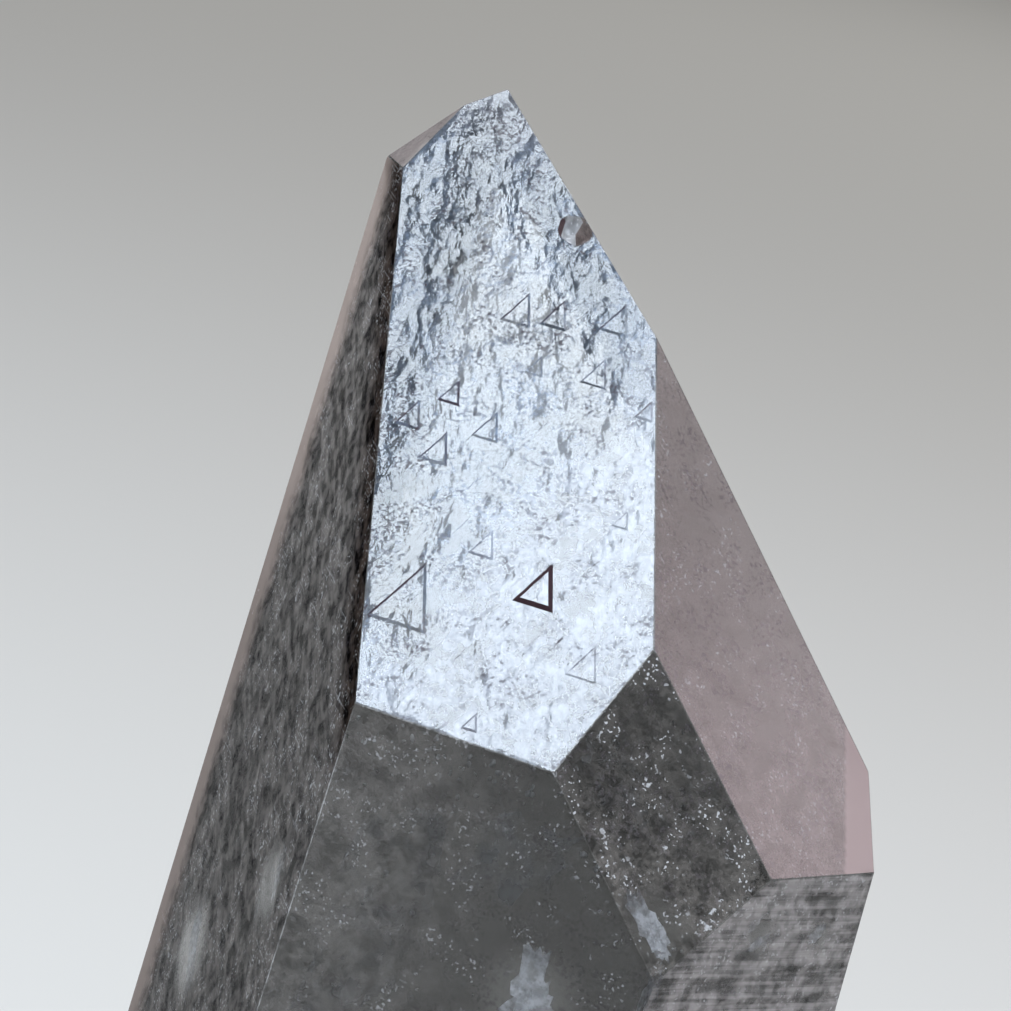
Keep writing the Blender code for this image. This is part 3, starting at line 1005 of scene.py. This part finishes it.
on_broad = amount("on_broad")
on_left = amount("on_left")
level_rows = wire.node(
    "ShaderNodeMapping",
    {"vector_type": "TEXTURE"},
    Vector=here,
    Scale=(ROW_LENGTH * MM, ROW_LENGTH * MM, ROW_HEIGHT * MM),
)
even = here.scaled(PER_MM / EVEN_GRAIN)
stretched = amount("on_rows").mixed_vectors(even, level_rows)
stretched = on_left.mixed_vectors(stretched, drawn_out("left_side", -35, 1.9, 0.60))
stretched = on_broad.mixed_vectors(stretched, drawn_out("broad_face", 109, 0.55, 0.34))
pattern = grain(1.0, 2.0, stretched, 1.0)
fine = grain(EVEN_GRAIN, 2.0)
medium = grain(0.7, 2.0)
wide = grain(2.2, 1.0)
strong = pattern.between(0.34, 0.66)
cloud = 0.35 * strong + 0.40 * medium.between(0.35, 0.65) + 0.25 * wide.between(0.40, 0.60)

# %% [markdown]
# Bright specks and dark pits are the highest parts of noises, cut out by a smooth threshold. Thin lines come
# the same way from noise that is drawn out a long way.

# %% Pick out specks, pits and lines
scratches = thin_lines("left_side", -6, 4.0, 0.10).between(0.66, 0.72) * on_left
small_specks = grain(0.18, 1.0).between(0.63, 0.70)
large_specks = grain(0.42, 2.0).between(0.64, 0.71)
crowding = wide.between(0.42, 0.62)
light_lines = thin_lines("broad_face", 110, 2.5, 0.09).between(0.68, 0.73) * on_broad
speck_mask = (small_specks + large_specks) * crowding * amount("specks")
speck_mask = (speck_mask + 0.4 * scratches * crowding + 0.25 * light_lines).clamped()
dark_lines = thin_lines("broad_face", 66, 1.8, 0.10).between(0.68, 0.73) * on_broad
pit_mask = fine.between(0.46, 0.68) * grain(1.5, 2.0).between(0.38, 0.62) * amount("pits")
pit_mask = (pit_mask + 0.6 * dark_lines).clamped()

# %% [markdown]
# The frost's colour swings about the face's own, while its share stays constant. Were the share to swing, the
# mirror image would grow where the frost fades, and the two would cancel.

# %% Mix the quartz
SPECK_COVER = 0.45
PIT_COVER = 0.7
GRIME_AND_SHADE_COVER = 0.95
SPECK_COLOUR = (0.52, 0.52, 0.54, 1.0)
PIT_COLOUR = (0.09, 0.08, 0.09, 1.0)
# Dark grime and painted shade on the keepers' sloping sides and under the chip's rim.
GRIME_AND_SHADE_COLOUR = (0.05, 0.03, 0.035, 1.0)
DARKEST_SWING = 0.05

swing = wire.math("MAXIMUM", 1 + amount("mottle") * (2.0 * cloud - 1.0), DARKEST_SWING)
cover = SPECK_COVER * speck_mask + PIT_COVER * pit_mask + GRIME_AND_SHADE_COVER * amount("grime")
factor = (amount("frost") + cover).clamped()
frost_colour = speck_mask.mixed(amount("tint", "Color").scaled(swing), SPECK_COLOUR)
frost_colour = pit_mask.mixed(frost_colour, PIT_COLOUR)
frost_colour = amount("grime").clamped().mixed(frost_colour, GRIME_AND_SHADE_COLOUR)

# %% [markdown]
# Now the two shaders are made and mixed. The smoke is an absorption in the volume, with constant values.

# %% Join glass, frost and smoke
SMOKE_COLOUR = (0.718, 0.716, 0.711, 1.0)
SMOKE_DENSITY = 190.0
QUARTZ_INDEX = 1.544
FROST_ROUGHNESS = 0.6
FINEST_DEPTH = 0.05 * MM

height = amount("etch") * pattern * (0.5 + 0.7 * crowding)
bumps = wire.node("ShaderNodeBump", Strength=1.0, Distance=FINEST_DEPTH, Height=height)
glass = wire.node(
    "ShaderNodeBsdfPrincipled",
    Base_Color=(1.0, 1.0, 1.0, 1.0),
    Roughness=amount("rough") * (0.6 + 0.8 * cloud),
    IOR=QUARTZ_INDEX,
    Transmission_Weight=1.0,
    Normal=bumps,
)
dull = wire.node(
    "ShaderNodeBsdfPrincipled",
    Base_Color=frost_colour,
    Roughness=FROST_ROUGHNESS,
    Specular_IOR_Level=0.0,
    Normal=bumps,
)
surface = wire.node("ShaderNodeMixShader", i0=factor, i1=glass, i2=dull)
smoke = wire.node("ShaderNodeVolumeAbsorption", Color=SMOKE_COLOUR, Density=SMOKE_DENSITY)
wire.node("ShaderNodeOutputMaterial", Surface=surface, Volume=smoke)

crystal.data.materials.clear()
crystal.data.materials.append(quartz)
crystal.data.polygons.foreach_set("material_index", np.zeros(len(crystal.data.polygons), np.int32))
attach(crystal, "root")
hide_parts("quartz_crystal")
print("quartz has", len(quartz.node_tree.nodes), "nodes")

# %% [markdown]
# ## Healed cracks and veils
# Inside the body hang whitish flakes, where the crystal once cracked and healed, and wider, fainter veils of
# fluid. Each starts as a disc under the face that it shows through, gets a torn outline, and is extruded by a
# few hundredths of a millimetre.

# %% Hang the veils
# The face, across and up it, the depth under it, half the length, half the width, and the turn and lean in
# degrees.
CRACKS = (
    ("front_side", 6.2, -1.9, 0.5, 2.3, 1.0, 95, 12),
    ("front_side", 6.3, -3.0, 0.7, 1.8, 1.3, 70, 5),
    ("front_side", 7.4, -4.4, 0.6, 1.6, 0.7, 60, 20),
    ("left_side", 6.0, -1.4, 0.4, 2.2, 0.5, 100, 8),
    ("left_side", 4.3, -4.6, 0.4, 1.2, 0.3, 110, 5),
    ("left_side", -5.0, -9.6, 0.5, 3.6, 0.6, 125, 10),
    ("corner_facet", 1.6, -5.0, 0.4, 1.9, 0.7, 128, 10),
    ("corner_facet", 2.4, -5.8, 0.5, 1.4, 0.5, 120, -5),
    ("striped_side", -1.0, 4.8, 0.3, 0.7, 0.3, 60, 0),
    ("striped_side", -0.2, 3.7, 0.3, 0.9, 0.35, 25, 0),
    ("striped_side", 4.0, 4.1, 0.3, 0.8, 0.45, 50, 0),
    ("striped_side", -6.9, 1.0, 0.5, 1.6, 0.6, 80, 15),
    ("left_back_side", 2.0, -10.0, 1.5, 3.5, 1.2, 70, 30),
    ("right_back_side", 1.5, -16.0, 1.5, 3.0, 1.0, 85, -25),
)
VEILS = (
    ("front_side", -3.0, -1.5, 3.5, 6.5, 3.8, 80, 25),
    ("front_side", 2.0, -14.0, 4.0, 9.0, 4.0, 100, -30),
    ("front_side", 3.5, 3.5, 3.0, 3.5, 2.4, 40, -25),
    ("corner_facet", 0.0, 1.5, 2.5, 3.6, 1.8, 120, 20),
    ("left_side", 1.0, -18.0, 2.5, 8.0, 3.0, 110, 20),
    ("back_side", -4.0, -20.0, 3.0, 8.0, 3.8, 110, 35),
    ("right_back_side", -1.0, -6.0, 3.0, 7.0, 3.6, 100, 25),
)
VEIL_CORNERS = 22
VEIL_THICKNESS = 0.05
VEIL_CLEARANCE = 0.15
draw = random.Random(5)


def kept_inside(place):
    """The place itself, or the nearest one that lies well under the surface."""
    for _ in range(3):
        over = heights_over_planes(np.array(place))
        nearest = int(over.argmax())
        excess = float(over[nearest]) + VEIL_CLEARANCE * MM
        if excess > 0:
            place = place - Vector(NORMALS[nearest]) * excess
    return place


def hang_veil(name, across, up, depth, half_length, half_width, turn, lean):
    """A thin closed flake under a face."""
    face = faces[name]
    centre = face.at(across, up, -depth)
    along = face.direction(turn)
    beside = Matrix.Rotation(math.radians(lean), 3, along) @ face.normal.cross(along)
    out = along.cross(beside)
    bpy.ops.mesh.primitive_circle_add(vertices=VEIL_CORNERS, radius=MM, fill_type="TRIFAN")
    made = bpy.context.object
    for vertex in made.data.vertices:
        angle = math.atan2(vertex.co.y, vertex.co.x)
        reach = vertex.co.length / MM * draw.uniform(0.62, 1.12)
        a = half_length * reach * math.cos(angle)
        b = half_width * reach * math.sin(angle)
        waves = draw.uniform(-0.05, 0.05) * half_width
        vertex.co = kept_inside(centre + (along * a + beside * b + out * waves) * MM)
    bpy.ops.object.mode_set(mode="EDIT")
    bpy.ops.mesh.select_all(action="SELECT")
    bpy.ops.mesh.extrude_region_move(TRANSFORM_OT_translate={"value": out * VEIL_THICKNESS * MM})
    finish_edit()
    return made


cracks = join([hang_veil(*row) for row in CRACKS], "healed_cracks")
veils = join([hang_veil(*row) for row in VEILS], "fluid_veils")
for made in (cracks, veils):
    inside = heights_over_planes(np.array([vertex.co for vertex in made.data.vertices])).max()
    print(made.name, "stays under the surface by", round(-float(inside) / MM, 2), "mm")

# %% [markdown]
# A film of bubbles is neither clear nor white. Its alpha says how much light it stops, and varies by a noise.

# %% Finish the cracks and veils
def film_material(name, colour, grain_size, thinnest, thickest):
    """A film of bubbles: how much light it stops changes from place to place between two shares."""
    film, wire, here = new_material(name)
    torn = wire.node("ShaderNodeTexNoise", Vector=here, Scale=PER_MM / grain_size, Detail=3.0)
    share = thinnest + (thickest - thinnest) * torn.between(0.38, 0.66)
    shader = wire.node("ShaderNodeBsdfPrincipled", Base_Color=colour, Roughness=0.4, Alpha=share)
    wire.node("ShaderNodeOutputMaterial", Surface=shader)
    return film


cracks.data.materials.append(film_material("crack_film", (0.90, 0.92, 0.98, 1.0), 0.5, 0.30, 1.0))
veils.data.materials.append(film_material("veil_film", (0.80, 0.82, 0.86, 1.0), 1.6, 0.0, 0.35))
for made in (cracks, veils):
    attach(made, "root")

# %% [markdown]
# ## Small inclusions
# Between the veils float hundreds of bright grains, most of them close under the front faces. One ball of
# twenty facets is modelled, and its copies are squeezed at random and joined. A finer ball would cost much
# and show nothing.

# %% Scatter the inclusions
# The face, the ranges across it, up it and under it, the range of radius, and how many.
GRAINS = (
    ("front_side", (-7.0, 4.0), (7.0, 8.6), (0.3, 0.6), (0.12, 0.30), 40),
    ("front_side", (-7.0, 3.5), (3.5, 8.6), (0.15, 1.2), (0.05, 0.20), 60),
    ("front_side", (-7.0, 7.0), (-36.0, 4.0), (0.3, 6.0), (0.05, 0.20), 90),
    ("corner_facet", (-3.5, 3.5), (-6.5, 6.0), (0.15, 1.5), (0.07, 0.25), 80),
    ("striped_side", (-6.0, 7.0), (-2.0, 6.5), (0.15, 1.0), (0.05, 0.22), 45),
    ("left_side", (-8.0, 8.0), (-36.0, 14.0), (0.2, 2.0), (0.05, 0.20), 60),
    ("back_side", (-7.0, 7.0), (-36.0, 10.0), (0.3, 5.0), (0.05, 0.20), 60),
)
CLEARANCE = 0.1

bpy.ops.mesh.primitive_ico_sphere_add(subdivisions=1, radius=MM)
first_grain = bpy.context.object
grains = []
for name, across_range, up_range, depth_range, radii, wanted in GRAINS:
    for _ in range(wanted):
        depth = draw.uniform(*depth_range)
        centre = faces[name].at(draw.uniform(*across_range), draw.uniform(*up_range), -depth)
        radius = radii[0] + (radii[1] - radii[0]) * draw.random() ** 3
        turn = Euler([draw.uniform(0, math.tau) for _ in range(3)]).to_matrix()
        squeeze = Matrix.Diagonal((1.0, draw.uniform(0.5, 1.0), draw.uniform(0.3, 0.8))) * radius
        if heights_over_planes(np.array([centre])).max() > -(radius + CLEARANCE) * MM:
            continue
        copy = first_grain.copy()
        copy.data = first_grain.data.copy()
        copy.data.transform(Matrix.Translation(centre) @ (turn @ squeeze).to_4x4())
        bpy.context.scene.collection.objects.link(copy)
        grains.append(copy)
bpy.data.objects.remove(first_grain, do_unlink=True)
inclusions = join(grains, "small_inclusions")
print(len(grains), "grains,", len(inclusions.data.polygons), "facets")

# %% [markdown]
# The grains are pale, and a noise makes some greyer than others.

# %% Finish the inclusions
gas, wire, here = new_material("inclusion_skin")
pale = wire.node("ShaderNodeTexNoise", Vector=here, Scale=PER_MM / 0.1, Detail=1.0)
grain_shader = wire.node(
    "ShaderNodeBsdfPrincipled",
    Base_Color=pale.mixed((0.60, 0.59, 0.59, 1.0), (0.92, 0.92, 0.93, 1.0)),
    Roughness=0.35,
)
wire.node("ShaderNodeOutputMaterial", Surface=grain_shader)
inclusions.data.materials.append(gas)
bpy.ops.object.shade_smooth_by_angle(angle=math.radians(60))
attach(inclusions, "root")
